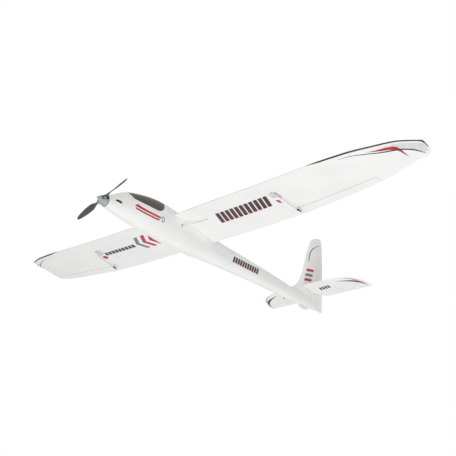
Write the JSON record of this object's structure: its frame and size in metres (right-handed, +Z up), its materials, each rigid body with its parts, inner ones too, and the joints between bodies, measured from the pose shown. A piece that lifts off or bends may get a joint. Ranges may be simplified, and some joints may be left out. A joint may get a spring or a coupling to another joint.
{
  "type": "rc glider",
  "caption": "Electric radio-controlled foam glider with a folding propeller, plug-in wings, ailerons, elevator and rudder on servo-driven pushrods, and a lift-off canopy.",
  "frame": {"origin": "on the ground under the middle of the glider's length and span, with the belly flat and the tail skid resting on Z = 0", "axes": "+X to port along the wings, -Y towards the nose, +Z up"},
  "size_m": [1.8, 1.1063, 0.3055],
  "materials": {
    "white_foam": "matte",
    "carbon_tube": "satin",
    "black_plastic": "satin",
    "white_plastic": "satin",
    "grey_plastic": "satin",
    "servo_case": "satin",
    "battery_wrap": "gloss",
    "strap_weave": "matte",
    "lead_cover": "satin",
    "steel_wire": "satin",
    "turned_aluminium": "satin",
    "copper_winding": "satin",
    "plywood": "matte"
  },
  "bodies": {
    "airframe": {"fuselage_shell_port": "white_foam", "fuselage_shell_starboard": "white_foam", "wing_panel_port": "white_foam", "wing_panel_starboard": "white_foam", "wing_root_rib_port": "black_plastic", "wing_root_rib_starboard": "black_plastic", "wing_joiner": "carbon_tube", "tailplane": "white_foam", "tail_skid": "white_plastic", "motor_bulkhead": "plywood", "motor_stator": "copper_winding", "equipment_tray": "plywood", "flight_battery": "battery_wrap", "battery_strap": "strap_weave", "speed_controller": "black_plastic", "receiver": "white_plastic", "elevator_servo": "servo_case", "rudder_servo": "servo_case", "aileron_servo_port": "servo_case", "aileron_servo_starboard": "servo_case", "elevator_sleeve": "white_plastic", "rudder_sleeve": "white_plastic", "aileron_lead_port": "lead_cover", "aileron_lead_starboard": "lead_cover", "canopy_clip_port": "black_plastic", "canopy_clip_starboard": "black_plastic"},
    "drive": {"spinner": "grey_plastic", "spinner_back_plate": "black_plastic", "propeller_yoke": "turned_aluminium", "motor_bell": "turned_aluminium", "motor_shaft": "steel_wire", "blade_pin_port": "steel_wire", "blade_pin_starboard": "steel_wire"},
    "blade_port": {"propeller_blade_port": "grey_plastic"},
    "blade_starboard": {"propeller_blade_starboard": "grey_plastic"},
    "canopy": {"canopy": "white_foam", "canopy_spigot_port": "black_plastic", "canopy_spigot_starboard": "black_plastic"},
    "rudder": {"rudder": "white_foam", "rudder_horn": "white_plastic"},
    "rudder_pushrod": {"rudder_pushrod": "steel_wire"},
    "rudder_arm": {"rudder_arm": "white_plastic"},
    "elevator": {"elevator_port": "white_foam", "elevator_starboard": "white_foam", "elevator_joiner": "steel_wire", "elevator_horn": "white_plastic"},
    "elevator_pushrod": {"elevator_pushrod": "steel_wire"},
    "elevator_arm": {"elevator_arm": "white_plastic"},
    "aileron_port": {"aileron_port": "white_foam", "aileron_horn_port": "white_plastic"},
    "aileron_pushrod_port": {"aileron_pushrod_port": "steel_wire"},
    "aileron_arm_port": {"aileron_arm_port": "white_plastic"},
    "aileron_starboard": {"aileron_starboard": "white_foam", "aileron_horn_starboard": "white_plastic"},
    "aileron_pushrod_starboard": {"aileron_pushrod_starboard": "steel_wire"},
    "aileron_arm_starboard": {"aileron_arm_starboard": "white_plastic"}
  },
  "joints": [
    {"name": "propeller_spin", "type": "hinge", "parent": "airframe", "child": "drive", "pos_m": [0, -0.531, 0.0445], "axis": [0, 1, 0], "continuous": true},
    {"name": "blade_fold_port", "type": "hinge", "parent": "drive", "child": "blade_port", "pos_m": [0.01513, -0.531, 0.04971], "axis": [-0.3256, 0, 0.9455], "range_deg": [0, 58]},
    {"name": "blade_fold_starboard", "type": "hinge", "parent": "drive", "child": "blade_starboard", "pos_m": [-0.01513, -0.531, 0.03929], "axis": [0.3256, 0, -0.9455], "range_deg": [0, 58]},
    {"name": "canopy_lift", "type": "slide", "parent": "airframe", "child": "canopy", "axis": [0, 0, 1], "range_m": [0, 0.06]},
    {"name": "rudder_hinge", "type": "hinge", "parent": "airframe", "child": "rudder", "pos_m": [0, 0.5201, 0.0445], "axis": [0, -0.0995, 0.995], "range_deg": [-25, 25]},
    {"name": "rudder_pushrod_slide", "type": "slide", "parent": "airframe", "child": "rudder_pushrod", "axis": [0, 1, 0], "range_m": [-0.0069, 0.0069]},
    {"name": "rudder_arm_turn", "type": "hinge", "parent": "airframe", "child": "rudder_arm", "pos_m": [0.006, -0.287, 0.0562], "axis": [0, 0, 1], "range_deg": [-36, 36]},
    {"name": "elevator_hinge", "type": "hinge", "parent": "airframe", "child": "elevator", "pos_m": [0, 0.51, 0.0802], "axis": [1, 0, 0], "range_deg": [-20, 20]},
    {"name": "elevator_pushrod_slide", "type": "slide", "parent": "airframe", "child": "elevator_pushrod", "axis": [0, 1, 0], "range_m": [-0.0043, 0.0043]},
    {"name": "elevator_arm_turn", "type": "hinge", "parent": "airframe", "child": "elevator_arm", "pos_m": [-0.012, -0.287, 0.0562], "axis": [0, 0, 1], "range_deg": [-22, 22]},
    {"name": "aileron_hinge_port", "type": "hinge", "parent": "airframe", "child": "aileron_port", "pos_m": [0.437, -0.103, 0.08346], "axis": [0.9972, 0.0135, 0.073], "range_deg": [-14, 28]},
    {"name": "aileron_arm_turn_port", "type": "hinge", "parent": "airframe", "child": "aileron_arm_port", "pos_m": [0.4298, -0.1916, 0.08911], "axis": [1, 0, 0], "range_deg": [-22, 43.5]},
    {"name": "aileron_pushrod_turn_port", "type": "hinge", "parent": "aileron_arm_port", "child": "aileron_pushrod_port", "pos_m": [0.4331, -0.1916, 0.07611], "axis": [1, 0, -0.005], "range_deg": [-41.3, 21]},
    {"name": "aileron_hinge_starboard", "type": "hinge", "parent": "airframe", "child": "aileron_starboard", "pos_m": [-0.437, -0.103, 0.08346], "axis": [0.9972, -0.0135, -0.073], "range_deg": [-14, 28]},
    {"name": "aileron_arm_turn_starboard", "type": "hinge", "parent": "airframe", "child": "aileron_arm_starboard", "pos_m": [-0.4298, -0.1916, 0.08911], "axis": [1, 0, 0], "range_deg": [-22, 43.5]},
    {"name": "aileron_pushrod_turn_starboard", "type": "hinge", "parent": "aileron_arm_starboard", "child": "aileron_pushrod_starboard", "pos_m": [-0.4331, -0.1916, 0.07611], "axis": [1, 0, 0.005], "range_deg": [-41.3, 21]}
  ],
  "couplings": [
    {"joint": "rudder_pushrod_slide", "follows": "rudder_hinge", "m_per_rad": -0.015523},
    {"joint": "rudder_arm_turn", "follows": "rudder_hinge", "ratio": 1.4112},
    {"joint": "elevator_pushrod_slide", "follows": "elevator_hinge", "m_per_rad": 0.0119},
    {"joint": "elevator_arm_turn", "follows": "elevator_hinge", "ratio": -1.0818},
    {"joint": "aileron_pushrod_turn_port", "follows": "aileron_hinge_port", "ratio": -1.444},
    {"joint": "aileron_arm_turn_port", "follows": "aileron_hinge_port", "ratio": 1.524},
    {"joint": "aileron_pushrod_turn_starboard", "follows": "aileron_hinge_starboard", "ratio": -1.444},
    {"joint": "aileron_arm_turn_starboard", "follows": "aileron_hinge_starboard", "ratio": 1.524}
  ]
}
